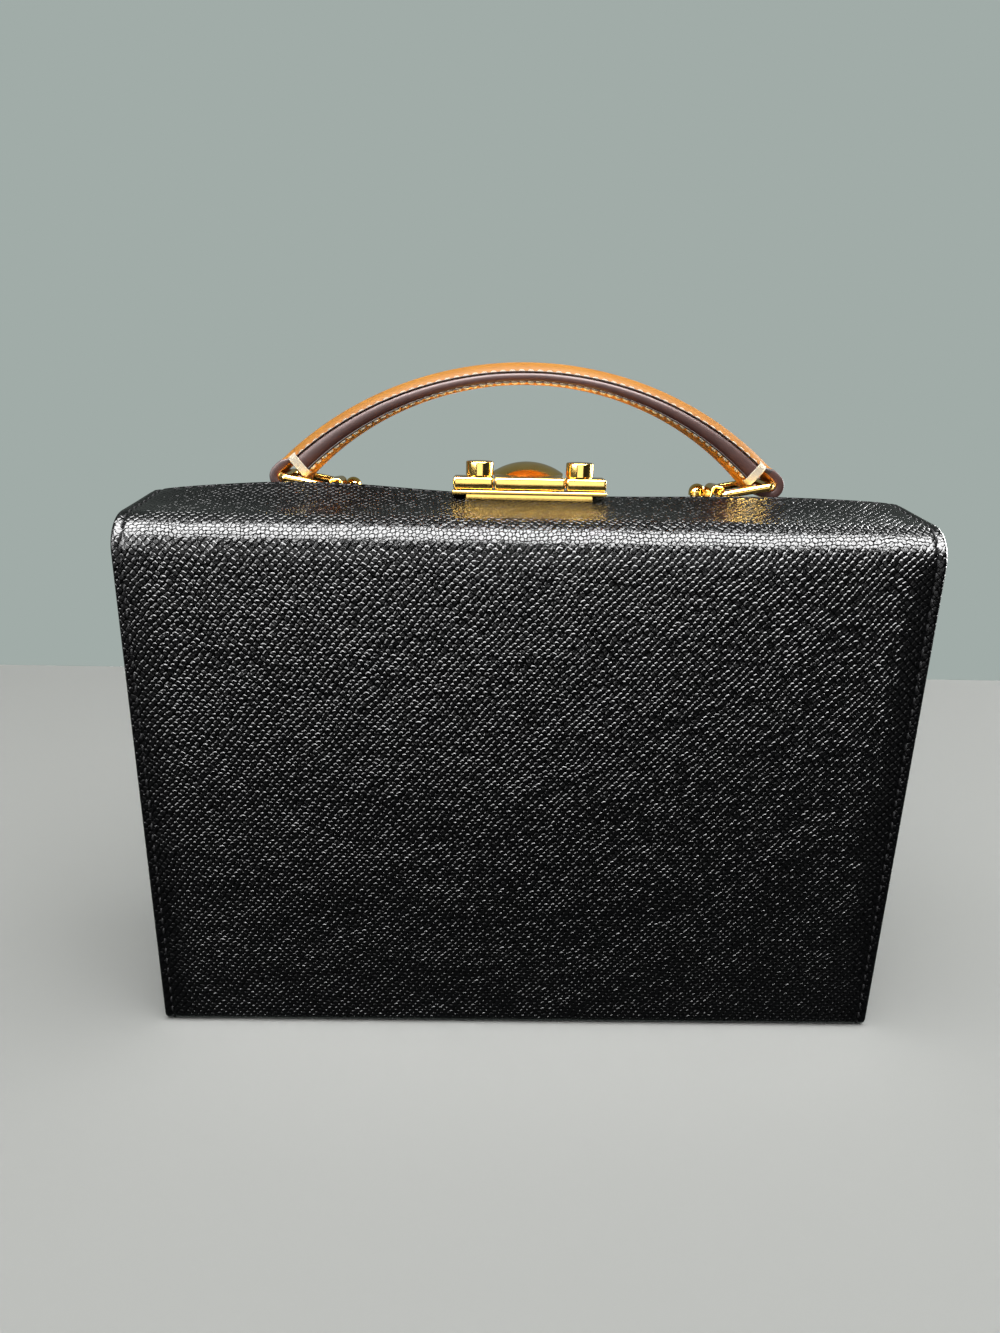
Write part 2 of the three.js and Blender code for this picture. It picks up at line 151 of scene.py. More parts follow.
def embossed_calf():
    """Black calf with a plate-embossed grain: flat-topped pebbles in slanting rows.

    Each pebble's wall is an even slope, 0.23 mm wide, so it catches a light as a crisp arc, and the flat
    tops stay black. Along a row the pebbles are joined by low saddles.
    """
    material, tree, shader = new_material("black_embossed_calf")
    row_pitch = 1.42
    cross_pitch = 1.27
    row_slope = math.radians(50)
    cross_slope = math.radians(138)
    squareness = 2.5
    wall_foot, wall_top = 0.81, 0.58
    run = add_node(tree, "ShaderNodeAttribute", attribute_name="run").outputs["Vector"]
    drift = add_node(tree, "ShaderNodeTexNoise", {"Vector": run, "Scale": 0.06, "Detail": 2.0})
    shift = add_node(tree, "ShaderNodeVectorMath", {0: drift.outputs["Color"], 1: (0.5, 0.5, 0.5)},
                     operation="SUBTRACT")
    shift = add_node(tree, "ShaderNodeVectorMath", {0: shift.outputs[0], "Scale": 3.0}, operation="SCALE")
    small = add_node(tree, "ShaderNodeTexNoise", {"Vector": run, "Scale": 0.55, "Detail": 1.0})
    jitter = add_node(tree, "ShaderNodeVectorMath", {0: small.outputs["Color"], "Scale": 0.8},
                      operation="SCALE")
    moved = add_node(tree, "ShaderNodeVectorMath", {0: run, 1: shift.outputs[0]}, operation="ADD")
    moved = add_node(tree, "ShaderNodeVectorMath", {0: moved.outputs[0], 1: jitter.outputs[0]},
                     operation="ADD").outputs[0]
    from_middle = []
    for slope, pitch in ((row_slope, row_pitch), (cross_slope, cross_pitch)):
        across = (-math.sin(slope) / pitch, math.cos(slope) / pitch, 0)
        phase = add_node(tree, "ShaderNodeVectorMath", {0: moved, 1: across}, operation="DOT_PRODUCT")
        from_groove = maths(tree, "PINGPONG", phase.outputs["Value"], 0.5)
        from_middle.append(maths(tree, "POWER", maths(tree, "MULTIPLY_ADD", from_groove, -pitch, pitch / 2),
                                 squareness))
    radius = maths(tree, "POWER", maths(tree, "ADD", *from_middle), 1 / squareness)
    wobble = add_node(tree, "ShaderNodeTexNoise", {"Vector": run, "Scale": 0.9, "Detail": 1.0})
    radius = maths(tree, "MULTIPLY_ADD", wobble.outputs["Fac"], 0.22, radius)
    pebble = add_node(tree, "ShaderNodeMapRange", {
        "Value": radius, "From Min": wall_foot, "From Max": wall_top}).outputs[0]
    # The plate pressed less deeply near the side edges and on the top panel, and unevenly all over
    split = add_node(tree, "ShaderNodeSeparateXYZ", {0: run})
    from_side = maths(tree, "SUBTRACT", HALF_WIDTH, maths(tree, "ABSOLUTE", split.outputs["X"]))
    side_fade = add_node(tree, "ShaderNodeMapRange", {
        "Value": from_side, "From Min": 1.5, "From Max": 11.0, "To Min": 0.4, "To Max": 1.0},
        interpolation_type="SMOOTHSTEP")
    from_crest = maths(tree, "MULTIPLY", split.outputs["Y"], -1.0)
    top_fade = add_node(tree, "ShaderNodeMapRange", {
        "Value": from_crest, "From Min": 9.0, "From Max": 22.0, "To Min": 0.8, "To Max": 1.0})
    patches = add_node(tree, "ShaderNodeTexNoise", {"Vector": run, "Scale": 0.5, "Detail": 3.0})
    press = add_node(tree, "ShaderNodeMapRange", {
        "Value": patches.outputs["Fac"], "From Min": 0.35, "From Max": 0.6, "To Min": 0.62, "To Max": 1.15})
    depth = maths(tree, "MULTIPLY", side_fade.outputs[0], press.outputs[0])
    depth = maths(tree, "MULTIPLY", depth, top_fade.outputs[0])
    pores = add_node(tree, "ShaderNodeTexNoise", {"Vector": run, "Scale": 1.6, "Detail": 3.0})
    height = maths(tree, "MULTIPLY", pebble, depth)
    height = maths(tree, "MULTIPLY_ADD", pores.outputs["Fac"], 0.08, height)
    bump = add_node(tree, "ShaderNodeBump", {"Height": height, "Strength": 1.0, "Distance": 0.18 * MM})
    # The grooves and walls are painted darker than the flat tops: painted shade in the hollows of the grain.
    colour = mix_colours(tree, pebble, linear("#040405"), linear("#0B0B0D"))
    rough = add_node(tree, "ShaderNodeMapRange", {"Value": pebble, "To Min": 0.13, "To Max": 0.24})
    shine = maths(tree, "MULTIPLY_ADD", top_fade.outputs[0], 1.3, -0.8)
    tree.links.new(shine, shader.inputs["Specular IOR Level"])
    tree.links.new(colour, shader.inputs["Base Color"])
    tree.links.new(rough.outputs[0], shader.inputs["Roughness"])
    tree.links.new(bump.outputs[0], shader.inputs["Normal"])
    shader.inputs["IOR"].default_value = 1.37
    return material


def painted_edge(name, colour, shade, roughness):
    """Cut leather edge sealed with several coats of edge paint: smooth and faintly lumpy."""
    material, tree, shader = new_material(name)
    place = add_node(tree, "ShaderNodeTexCoord").outputs["Object"]
    lumps = add_node(tree, "ShaderNodeTexNoise", {"Vector": place, "Scale": 420.0, "Detail": 2.0})
    bump = add_node(tree, "ShaderNodeBump", {
        "Height": lumps.outputs["Fac"], "Strength": 0.5, "Distance": 0.12 * MM})
    tint = mix_colours(tree, lumps.outputs["Fac"], linear(shade), linear(colour))
    tree.links.new(tint, shader.inputs["Base Color"])
    tree.links.new(bump.outputs[0], shader.inputs["Normal"])
    shader.inputs["Roughness"].default_value = roughness
    shader.inputs["Specular IOR Level"].default_value = 0.3
    return material


def waxed_tan_leather():
    """Smooth vegetable-tanned leather, waxed: warm tan with cloudy dye and very fine pores."""
    material, tree, shader = new_material("waxed_tan_leather")
    place = add_node(tree, "ShaderNodeTexCoord").outputs["Object"]
    clouds = add_node(tree, "ShaderNodeTexNoise", {"Vector": place, "Scale": 90.0, "Detail": 3.0})
    pores = add_node(tree, "ShaderNodeTexVoronoi", {"Vector": place, "Scale": 2600.0}, feature="F1")
    fibres = add_node(tree, "ShaderNodeTexNoise", {"Vector": place, "Scale": 900.0, "Detail": 4.0})
    tint = mix_colours(tree, clouds.outputs["Fac"], linear("#C67A1F"), linear("#E19A36"))
    tree.links.new(tint, shader.inputs["Base Color"])
    height = maths(tree, "MULTIPLY_ADD", pores.outputs["Distance"], 0.5, fibres.outputs["Fac"])
    bump = add_node(tree, "ShaderNodeBump", {"Height": height, "Strength": 0.6, "Distance": 0.03 * MM})
    tree.links.new(bump.outputs[0], shader.inputs["Normal"])
    rough = add_node(tree, "ShaderNodeMapRange", {
        "Value": fibres.outputs["Fac"], "To Min": 0.45, "To Max": 0.65})
    tree.links.new(rough.outputs[0], shader.inputs["Roughness"])
    shader.inputs["Specular IOR Level"].default_value = 0.1
    return material


def waxed_thread(name, light, dark, shine):
    """Twisted linen thread drawn through wax: fine slanting plies, a little shine."""
    material, tree, shader = new_material(name)
    twist = add_node(tree, "ShaderNodeAttribute", attribute_name="run").outputs["Vector"]
    plies = add_node(tree, "ShaderNodeTexWave", {"Vector": twist, "Scale": 1.1, "Distortion": 0.6},
                     wave_type="BANDS", bands_direction="DIAGONAL")
    tint = mix_colours(tree, plies.outputs["Fac"], linear(dark), linear(light))
    tree.links.new(tint, shader.inputs["Base Color"])
    bump = add_node(tree, "ShaderNodeBump", {
        "Height": plies.outputs["Fac"], "Strength": 0.6, "Distance": 0.08 * MM})
    tree.links.new(bump.outputs[0], shader.inputs["Normal"])
    shader.inputs["Roughness"].default_value = 0.6
    shader.inputs["Specular IOR Level"].default_value = shine
    return material


def polished_brass():
    """Cast brass, polished and lacquered: a clear reflection with faint buffing haze."""
    material, tree, shader = new_material("polished_brass")
    place = add_node(tree, "ShaderNodeTexCoord").outputs["Object"]
    haze = add_node(tree, "ShaderNodeTexNoise", {"Vector": place, "Scale": 260.0, "Detail": 3.0})
    waves = add_node(tree, "ShaderNodeTexNoise", {"Vector": place, "Scale": 150.0, "Detail": 1.0})
    tint = mix_colours(tree, haze.outputs["Fac"], linear("#E3B75C"), linear("#F2CF7C"))
    tree.links.new(tint, shader.inputs["Base Color"])
    rough = add_node(tree, "ShaderNodeMapRange", {
        "Value": haze.outputs["Fac"], "To Min": 0.08, "To Max": 0.17})
    tree.links.new(rough.outputs[0], shader.inputs["Roughness"])
    bump = add_node(tree, "ShaderNodeBump", {
        "Height": waves.outputs["Fac"], "Strength": 0.25, "Distance": 0.1 * MM})
    tree.links.new(bump.outputs[0], shader.inputs["Normal"])
    shader.inputs["Metallic"].default_value = 1.0
    return material


def suede_lining():
    """Split suede glued inside the shells: matt, short nap brushed in patches."""
    material, tree, shader = new_material("brown_suede_lining")
    place = add_node(tree, "ShaderNodeTexCoord").outputs["Object"]
    nap = add_node(tree, "ShaderNodeTexNoise", {"Vector": place, "Scale": 60.0, "Detail": 6.0})
    hairs = add_node(tree, "ShaderNodeTexNoise", {"Vector": place, "Scale": 1800.0, "Detail": 2.0})
    tint = mix_colours(tree, nap.outputs["Fac"], linear("#33251B"), linear("#4E3B2D"))
    tree.links.new(tint, shader.inputs["Base Color"])
    bump = add_node(tree, "ShaderNodeBump", {
        "Height": hairs.outputs["Fac"], "Strength": 0.7, "Distance": 0.15 * MM})
    tree.links.new(bump.outputs[0], shader.inputs["Normal"])
    shader.inputs["Roughness"].default_value = 0.95
    shader.inputs["Sheen Weight"].default_value = 0.08
    return material


CALF = embossed_calf()
BLACK_EDGE = painted_edge("black_edge_paint", "#1B1D1D", "#101112", 0.4)
# Dark brown for the handle leathers' edges where they lie against the core: painted shade of the groove
# between leather and core.
GROOVE_SHADE_EDGE = painted_edge("brown_edge_with_painted_groove_shade", "#35211B", "#251713", 0.5)
BROWN_EDGE = painted_edge("brown_edge_paint", "#6A4138", "#4E2E29", 0.42)
TAN = waxed_tan_leather()
CREAM_THREAD = waxed_thread("cream_waxed_thread", "#FBF1DA", "#E0CDA8", 0.4)
BLACK_THREAD = waxed_thread("black_waxed_thread", "#17171A", "#0A0A0B", 0.12)
BRASS = polished_brass()
SUEDE = suede_lining()


# Meshes

def finish_piece(name, body, nodes, grids, materials):
    """Joins closed grids of points into one piece.

    Each grid is (points, run, face materials, rows close, columns close): points is rows by columns by 3 in
    millimetres, run gives each point its place on the flat leather, and the faces between neighbouring
    points are quads. Points that fall together, as at a pole or a pinched end, are merged.
    """
    all_points, all_runs, all_faces, all_marks = [], [], [], []
    start = 0
    for points, run, marks, rows_close, columns_close in grids:
        rows, columns = points.shape[:2]
        r = np.arange(rows if rows_close else rows - 1)
        c = np.arange(columns if columns_close else columns - 1)
        r, c = np.meshgrid(r, c, indexing="ij")
        r2, c2 = (r + 1) % rows, (c + 1) % columns
        corners = np.stack([r * columns + c, r * columns + c2, r2 * columns + c2, r2 * columns + c], -1)
        all_faces.append(corners.reshape(-1, 4) + start)
        all_marks.append(np.broadcast_to(marks, r.shape).reshape(-1))
        all_points.append(points.reshape(-1, 3))
        all_runs.append(np.broadcast_to(run, points.shape).reshape(-1, 3))
        start += rows * columns
    points, runs = np.concatenate(all_points), np.concatenate(all_runs)
    faces, marks = np.concatenate(all_faces), np.concatenate(all_marks)

    mesh = bpy.data.meshes.new(name)
    mesh.from_pydata((points * MM).tolist(), [], faces.tolist())
    mesh.polygons.foreach_set("material_index", marks.astype(np.int32))
    mesh.attributes.new("run", "FLOAT_VECTOR", "POINT").data.foreach_set("vector", runs.reshape(-1))
    for material in materials:
        mesh.materials.append(material)
    piece = bpy.data.objects.new(name, mesh)
    bpy.context.scene.collection.objects.link(piece)
    tidy_mesh(mesh)
    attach(piece, body)
    if nodes:
        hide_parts(*nodes)
    return piece


def tidy_mesh(mesh):
    """Merges points that fall together, drops faces with no area and turns the faces outwards."""
    work = bmesh.new()
    work.from_mesh(mesh)
    bmesh.ops.remove_doubles(work, verts=work.verts, dist=0.002 * MM)
    bmesh.ops.dissolve_degenerate(work, edges=work.edges, dist=0.001 * MM)
    bmesh.ops.recalc_face_normals(work, faces=work.faces)
    work.to_mesh(mesh)
    work.free()
    mesh.polygons.foreach_set("use_smooth", np.ones(len(mesh.polygons), dtype=bool))
    mesh.set_sharp_from_angle(angle=math.radians(40))


def circle_arc(centre, radius, start, end, count):
    """Points of a circle from start to end, in degrees from the first axis towards the second."""
    angle = np.radians(np.linspace(start, end, count))
    return np.stack([centre[0] + radius * np.cos(angle), centre[1] + radius * np.sin(angle)], 1)


def walk(points, stations):
    """Places and unit tangents at distances along a polyline."""
    steps = np.linalg.norm(np.diff(points, axis=0), axis=1)
    along = np.concatenate([[0], np.cumsum(steps)])
    place = np.stack([np.interp(stations, along, points[:, i]) for i in range(points.shape[1])], 1)
    reach = 0.05
    ahead = np.stack([np.interp(stations + reach, along, points[:, i]) for i in range(points.shape[1])], 1)
    behind = np.stack([np.interp(stations - reach, along, points[:, i]) for i in range(points.shape[1])], 1)
    tangent = ahead - behind
    return place, tangent / np.linalg.norm(tangent, axis=1, keepdims=True)


def length_of(points):
    return np.linalg.norm(np.diff(points, axis=0), axis=1).sum()


# Shell

def top_height(depth, inset=0.0):
    """Height of a top panel at a distance from the parting plane, moved in by an inset."""
    return CREST - depth * math.tan(TOP_FALL) - inset / math.cos(TOP_FALL)


def shell_outline(inset):
    """(distance from the parting plane, height) from the crest over the face to the hinge, moved in."""
    depth = HALF_DEPTH - TOP_RADIUS
    fall = math.degrees(TOP_FALL)
    foot = max(FOOT_RADIUS - inset, 0.2)
    return np.concatenate([
        [[PARTING, top_height(PARTING, inset)]],
        circle_arc((depth, top_height(depth, TOP_RADIUS)), TOP_RADIUS - inset, 90 - fall, 0, 48),
        circle_arc((HALF_DEPTH - inset - foot, inset + foot), foot, 0, -90, 24),
        [[HINGE_EDGE, inset]],
    ])


def crest_bow(x):
    """How far the padded top stands up at the crest: a swell by each ring, the left one higher."""
    ends = np.clip(1 - (np.abs(x) / HALF_WIDTH) ** 20, 0, 1)
    return ends * (0.75 + 2.5 * np.exp(-((x + 55) / 30) ** 2) + 0.8 * np.exp(-((x - 60) / 26) ** 2))


def crest_rise(x, stations, side):
    """The crest's bow at distances along the strip, on the near half or, lower and shorter, the far one."""
    height, reach = (1.0, 15) if side < 0 else (0.6, 7)
    return height * crest_bow(x) * np.clip(1 - stations / reach, 0, 1) ** 1.5


def groove(distance, depth=0.28, width=0.55):
    """A soft valley along a row of stitches."""
    return -depth * np.exp(-(distance / width) ** 2)


def strip_stations(total):
    """Distances along a strip: close together at both ends and round its two bends."""
    ends = np.array([0, 0.1, 0.25, 0.5, 0.8, 1.2, 1.6, 2.2])
    top_run = (HALF_DEPTH - TOP_RADIUS) / math.cos(TOP_FALL)
    bend = TOP_RADIUS * math.radians(90 - math.degrees(TOP_FALL))
    foot_end = total - (HALF_DEPTH - FOOT_RADIUS - HINGE_EDGE)
    return np.unique(np.concatenate([
        ends, np.linspace(2.2, top_run, 14), np.linspace(top_run, top_run + bend, 20),
        np.linspace(top_run + bend, foot_end - FOOT_RADIUS * 1.7, 44),
        np.linspace(foot_end - FOOT_RADIUS * 1.7, foot_end + 0.5, 12),
        np.linspace(foot_end + 0.5, total - 2.2, 8), total - ends]).round(4))


def leather_strip(side, inset, thickness, x0, x1):
    """A band of leather round a shell, from the crest to the hinge.

    The section is a rectangle with half-round ends, thickness deep and from x0 to x1 wide. It's carried
    along the shell's outline, outer face on it; its two ends are pinched round. Grooves for the stitches
    and the crest's bow move the outer face along the outline's normal.
    """
    outline = shell_outline(inset)
    total = length_of(outline)
    stations = strip_stations(total)
    tangent = walk(outline, np.clip(stations, 0.051, total - 0.051))[1]
    exact = walk(outline, stations)[0]
    normal = np.stack([-tangent[:, 1], tangent[:, 0]], 1)
    fine = np.array([0, 0.3, 0.6, 0.9, 1.15, 1.4, 1.65, 1.9, 2.3, 2.8, 3.4])
    radius = thickness / 2
    wide = x1 - x0 > 20
    inner = np.linspace(x0 + 8, x1 - 8, 40) if wide else []
    span = np.concatenate([x0 + radius + fine, inner, (x1 - radius - fine)[::-1]]) if wide else \
        np.linspace(x0 + radius, x1 - radius, 10)
    turn = circle_arc((0, 0), radius, 90, -90, 9)[1:-1]
    x = np.concatenate([span, x1 - radius + turn[:, 0], span[::-1], x0 + radius - turn[:, 0]])
    t = np.concatenate([np.zeros(len(span)), radius - turn[:, 1], np.full(len(span), thickness),
                        radius + turn[:, 1]])
    to_end = np.minimum(stations, total - stations)[:, None]
    pinch = np.sqrt(np.clip(1 - (1 - np.clip(to_end / radius, 0, 1)) ** 2, 0, 1))
    depth = radius + (t[None, :] - radius) * pinch

    outer = (t < radius)[None, :]
    relief = np.zeros((len(stations), len(x)))
    if wide:
        relief += groove(HALF_WIDTH - np.abs(x)[None, :] - STITCH_FROM_SIDE)
        relief += groove(stations[:, None] - STITCH_FROM_CREST, depth=0.2)
        relief = np.where(outer, relief, 0)
    depth = depth - relief - crest_rise(x[None, :], stations[:, None], side)
    points = np.empty(depth.shape + (3,))
    points[..., 0] = x[None, :]
    points[..., 1] = side * (exact[:, None, 0] - normal[:, None, 0] * depth)
    points[..., 2] = exact[:, None, 1] - normal[:, None, 1] * depth
    run = np.empty_like(points)
    run[..., 0] = x[None, :]
    run[..., 1] = -stations[:, None]
    run[..., 2] = 0
    near_side = np.abs(x) > HALF_WIDTH - 0.55
    lining = (t > thickness * 0.8) & wide
    marks = np.where(near_side & np.roll(near_side, -1), 1, np.where(lining & np.roll(lining, -1), 2, 0))
    marks = np.broadcast_to(marks, (len(stations) - 1, len(x)))
    return points, run, marks, False, True


def side_plate(side, hand):
    """The flat side panel: the shell's outline shrunk towards its middle, on both faces, as rings."""
    rim = FLANGE_OUTSIDE - SIDE_RECESS
    thickness = 1.4
    outline = shell_outline(WRAP_THICKNESS + 0.2)
    edge = walk(outline, np.linspace(0, length_of(outline), 90))[0]
    foot = np.array([[HINGE_EDGE, 3.6], [PARTING, 3.6]])
    parting = np.stack([np.full(20, PARTING), np.linspace(3.6, top_height(PARTING, 2.0), 20)], 1)[1:-1]
    edge = np.concatenate([edge, foot, parting])
    middle = np.array([HALF_DEPTH / 2, CREST / 2])
    shrink = np.array([0, 0.5, 0.9, 1, 1, 0.9, 0.5, 0])[:, None, None]
    x = np.array([rim, rim, rim, rim, rim - thickness, rim - thickness, rim - thickness, rim - thickness])
    flat = middle + (edge[None] - middle) * shrink
    dish = -0.6 * (1 - shrink[..., 0] ** 2)
    points = np.empty(flat.shape[:2] + (3,))
    points[..., 0] = hand * (x[:, None] + dish)
    points[..., 1] = side * flat[..., 0]
    points[..., 2] = flat[..., 1]
    run = np.stack([flat[..., 0], flat[..., 1], np.zeros(flat.shape[:2])], -1)
    marks = np.array([0, 0, 0, 1, 2, 2, 2])[:, None]
    return points, run, marks, False, True


# Stitches

def stitch_row(centres, directions, normals, length, radius):
    """One closed capsule for each stitch: a six-sided tube that swells in the middle and dips at both ends.

    centres, directions and normals have a row for each stitch. Along the stitch the tube's radius is the
    square root of one minus the fourth power of the distance from the middle, and both ends go down.
    """
    end_dip = 0.35
    along = np.array([-1, -0.82, -0.4, 0.4, 0.82, 1])
    swell = np.sqrt(1 - along ** 4)
    dip = -end_dip * along ** 4
    turn = np.radians(np.arange(0, 360, 60))
    across = np.cross(directions, normals)
    grids = []
    for c, d, n, s in zip(centres, directions, normals, across):
        middle = c + d * (along * length / 2)[:, None] + n * dip[:, None]
        ring = np.cos(turn)[None, :, None] * s + np.sin(turn)[None, :, None] * n
        points = middle[:, None] + ring * (radius * swell)[:, None, None]
        run = np.stack([
            np.broadcast_to((along * length / 2)[:, None], points.shape[:2]),
            np.broadcast_to(turn[None, :] / 3, points.shape[:2]), np.zeros(points.shape[:2])], -1)
        grids.append((points, run, 0, False, True))
    return grids


def shell_stitches(side):
    """Stitches down both side edges of a shell and along its crest."""
    outline = shell_outline(0)
    total = length_of(outline)
    count = round((total - 4) / STITCH_PITCH)
    stations = 2.6 + np.arange(count) * (total - 5.2) / (count - 1)
    place, tangent = walk(outline, stations)
    grids = []
    for hand in (-1, 1):
        x = hand * (HALF_WIDTH - STITCH_FROM_SIDE)
        normal = np.stack([np.zeros(count), side * -tangent[:, 1], tangent[:, 0]], 1)
        centres = np.stack([np.full(count, x), side * place[:, 0], place[:, 1]], 1)
        centres += normal * (crest_rise(x, stations, side) - 0.16)[:, None]
        directions = np.stack([np.zeros(count), side * tangent[:, 0], tangent[:, 1]], 1)
        grids += stitch_row(centres, directions, normal, STITCH_LENGTH, STITCH_RADIUS)
    across = 2 * (HALF_WIDTH - STITCH_FROM_SIDE - STITCH_PITCH)
    count = round(across / STITCH_PITCH)
    x = (np.arange(count) - (count - 1) / 2) * STITCH_PITCH
    place, tangent = walk(outline, np.full(count, STITCH_FROM_CREST))
    normal = np.stack([np.zeros(count), side * -tangent[:, 1], tangent[:, 0]], 1)
    centres = np.stack([x, side * place[:, 0], place[:, 1]], 1)
    centres += normal * (crest_rise(x, STITCH_FROM_CREST, side) - 0.12)[:, None]
    directions = np.tile([1.0, 0, 0], (count, 1))
    return grids + stitch_row(centres, directions, normal, STITCH_LENGTH, STITCH_RADIUS)


def build_shell(name, body, side):
    wrap = leather_strip(side, 0, WRAP_THICKNESS, -HALF_WIDTH, HALF_WIDTH)
    finish_piece(f"{name}_wrap_leather", body, [f"{name}_wrap"], [wrap],
                 [CALF, BLACK_EDGE, SUEDE])
    for sideways, hand in (("left", -1), ("right", 1)):
        ends = sorted((hand * (HALF_WIDTH - 5.2), hand * (HALF_WIDTH - 0.15)))
        flange = leather_strip(side, WRAP_THICKNESS, FLANGE_THICKNESS, *ends)
        plate = side_plate(side, hand)
        finish_piece(f"{name}_{sideways}_side_leather", body,
                     [f"{name}_{sideways}_side"], [flange, plate], [CALF, BLACK_EDGE, SUEDE])
    finish_piece(f"{name}_stitches", body, [], shell_stitches(side), [BLACK_THREAD])


# Straps and handle

def arch_line(depth, swell, reach, count=160):
    """(x, z) along the arch from left to right, at a depth that grows by swell towards both ends."""
    share = np.linspace(-1, 1, count)
    radius = ARCH_RADIUS - depth - swell * share ** 2
    angle = np.radians(share * reach)
    return np.stack([radius * np.sin(angle), ARCH_Z + radius * np.cos(angle)], 1)


def crown_shape(eta, edge_share, crown):
    """Share of a crowned strap's thickness across the width, eta being -1 and 1 at its edges.

    The dome is 1 minus the 2.4th power of eta over CROWN_SHARE, all to the power 0.75, and nothing beyond,
    so that a flat edge is left for the stitches. crown blends it with a flat strap, and edge_share is what
    is left at the edges.
    """
    dome = np.clip(1 - (np.abs(eta) / CROWN_SHARE) ** 2.4, 0, 1) ** 0.75
    return edge_share + (1 - edge_share) * ((1 - crown) + crown * dome)


def strap(path, stations, width, bottom, top, edge_share, crown, end_round=0.6, bulge=0.5):
    """A strap carried along a path in the XZ plane, from bottom to top of the path's normal.

    crown_shape gives its thickness across the width, its edges are half ellipses that stand out by bulge,
    and both ends are pinched round. The third result marks the faces of the two edges.
    """
    place, tangent = walk(path, stations)
    normal = np.stack([-tangent[:, 1], tangent[:, 0]], 1)
    half_eta = np.array([0.12, 0.25, 0.38, 0.5, 0.6, 0.68, 0.74, 0.79, 0.82, CROWN_SHARE, 0.88, 0.94, 1.0])
    eta = np.concatenate([-half_eta[::-1], [0], half_eta])
    column = [np.broadcast_to(value, stations.shape)[:, None] for value in (bottom, top, edge_share, crown)]
    shape = crown_shape(eta[None, :], column[2], column[3])
    upper = column[1] * shape
    lower = column[0] * shape
    middle = (upper[:, :1] + lower[:, :1]) / 2
    half = (upper[:, :1] - lower[:, :1]) / 2
    curve = circle_arc((0, 0), 1, 90, -90, 11)[1:-1]
    side_y = width / 2 + curve[None, :, 0] * np.minimum(half, bulge)
    side_t = middle + half * curve[None, :, 1]
    flat = np.broadcast_to(width / 2 * eta, upper.shape)
    y = np.concatenate([flat, side_y, flat[:, ::-1], -side_y[:, ::-1]], 1)
    t = np.concatenate([upper, side_t, lower[:, ::-1], side_t[:, ::-1]], 1)
    to_end = np.minimum(stations - stations[0], stations[-1] - stations)[:, None]
    pinch = np.sqrt(np.clip(1 - (1 - np.clip(to_end / end_round, 0, 1)) ** 2, 0, 1))
    centre = (t.max(1, keepdims=True) + t.min(1, keepdims=True)) / 2
    t = centre + (t - centre) * pinch
    points = np.empty(t.shape + (3,))
    points[..., 0] = place[:, None, 0] + normal[:, None, 0] * t
    points[..., 1] = HANDLE_BACK + y
    points[..., 2] = place[:, None, 1] + normal[:, None, 1] * t
    run = np.stack([np.broadcast_to(stations[:, None], t.shape), y, np.zeros(t.shape)], -1)
    columns = np.arange(t.shape[1])
    flats, sides = len(eta), len(curve)
    on_edge = ((columns >= flats - 1) & (columns < flats + sides)) | (columns >= 2 * flats + sides - 1)
    return points, run, on_edge


def close_ends(stations):
    """Adds stations close to both ends, for a round pinch."""
    near = np.array([0.05, 0.15, 0.3, 0.5])
    return np.unique(np.concatenate([stations, stations[0] + near, stations[-1] - near]))


def end_share(stations):
    """0 at the middle of a run and 1 at both its ends, as a square."""
    return (2 * stations / stations[-1] - 1) ** 2


def handle_upper():
    """The upper leather: arch, end loops and tongues in one run, crowned along the arch."""
    loop_distance = ARCH_RADIUS - UPPER_THICKNESS - LOOP_INNER
    angle = math.radians(LOOP_ANGLE)
    loop = (loop_distance * math.sin(angle), ARCH_Z + loop_distance * math.cos(angle))
    last = 90 - LOOP_ANGLE - TONGUE_TURN
    curl = circle_arc(loop, LOOP_INNER, 90 - LOOP_ANGLE, last, 40)
    heading = np.array([math.sin(math.radians(last)), -math.cos(math.radians(last))])
    right = np.concatenate([curl[1:], [curl[-1] + heading * TONGUE_LENGTH]])
    left = (right * [-1, 1])[::-1]
    path = np.concatenate([left, arch_line(UPPER_THICKNESS, 0, LOOP_ANGLE), right])
    total = length_of(path)
    loop_length = length_of(right)
    stations = close_ends(np.unique(np.concatenate([
        np.linspace(0, TONGUE_LENGTH, 6), np.linspace(TONGUE_LENGTH, loop_length, 26),
        np.linspace(loop_length, total - loop_length, 100),
        np.linspace(total - loop_length, total - TONGUE_LENGTH, 26),
        np.linspace(total - TONGUE_LENGTH, total, 6)])))
    from_loop = np.minimum(stations, total - stations) - loop_length
    crown = np.clip((from_loop - 0.5) / 5.5, 0, 1)
    crown = crown * crown * (3 - 2 * crown)
    share = 1 - (1 - EDGE_SHARE) * crown
    points, run, on_edge = strap(
        path, stations, HANDLE_WIDTH, 0.0, UPPER_THICKNESS + UPPER_CROWN * crown, share, crown, bulge=0.3)
    # Along the crowned arch the leather's edges get painted groove shade against the core; on the bare
    # loops, plain brown edge paint.
    bare_edge_or_painted_shade = np.where(crown[:-1] < 0.6, 1, 2)[:, None]
    marks = np.where(on_edge[None, :], bare_edge_or_painted_shade, 0)
    finish_piece("handle_upper_leather", "far_half", ["handle_upper"],
                 [(points, run, marks, False, True)], [TAN, BROWN_EDGE, GROOVE_SHADE_EDGE])


def handle_core():
    """The core with its painted edges, thicker towards both ends."""
    path = arch_line(CORE_DEPTH + CORE_THICKNESS / 2, CORE_SWELL / 2, CORE_REACH)
    stations = close_ends(np.linspace(0, length_of(path), 100))
    half = (CORE_THICKNESS + CORE_SWELL * end_share(stations)) / 2
    points, run, _ = strap(path, stations, HANDLE_WIDTH - 0.9, -half, half, 1.0, 0.0, 0.8, bulge=0.7)
    finish_piece("handle_painted_core", "far_half", ["handle_core"],
                 [(points, run, 0, False, True)], [BROWN_EDGE])


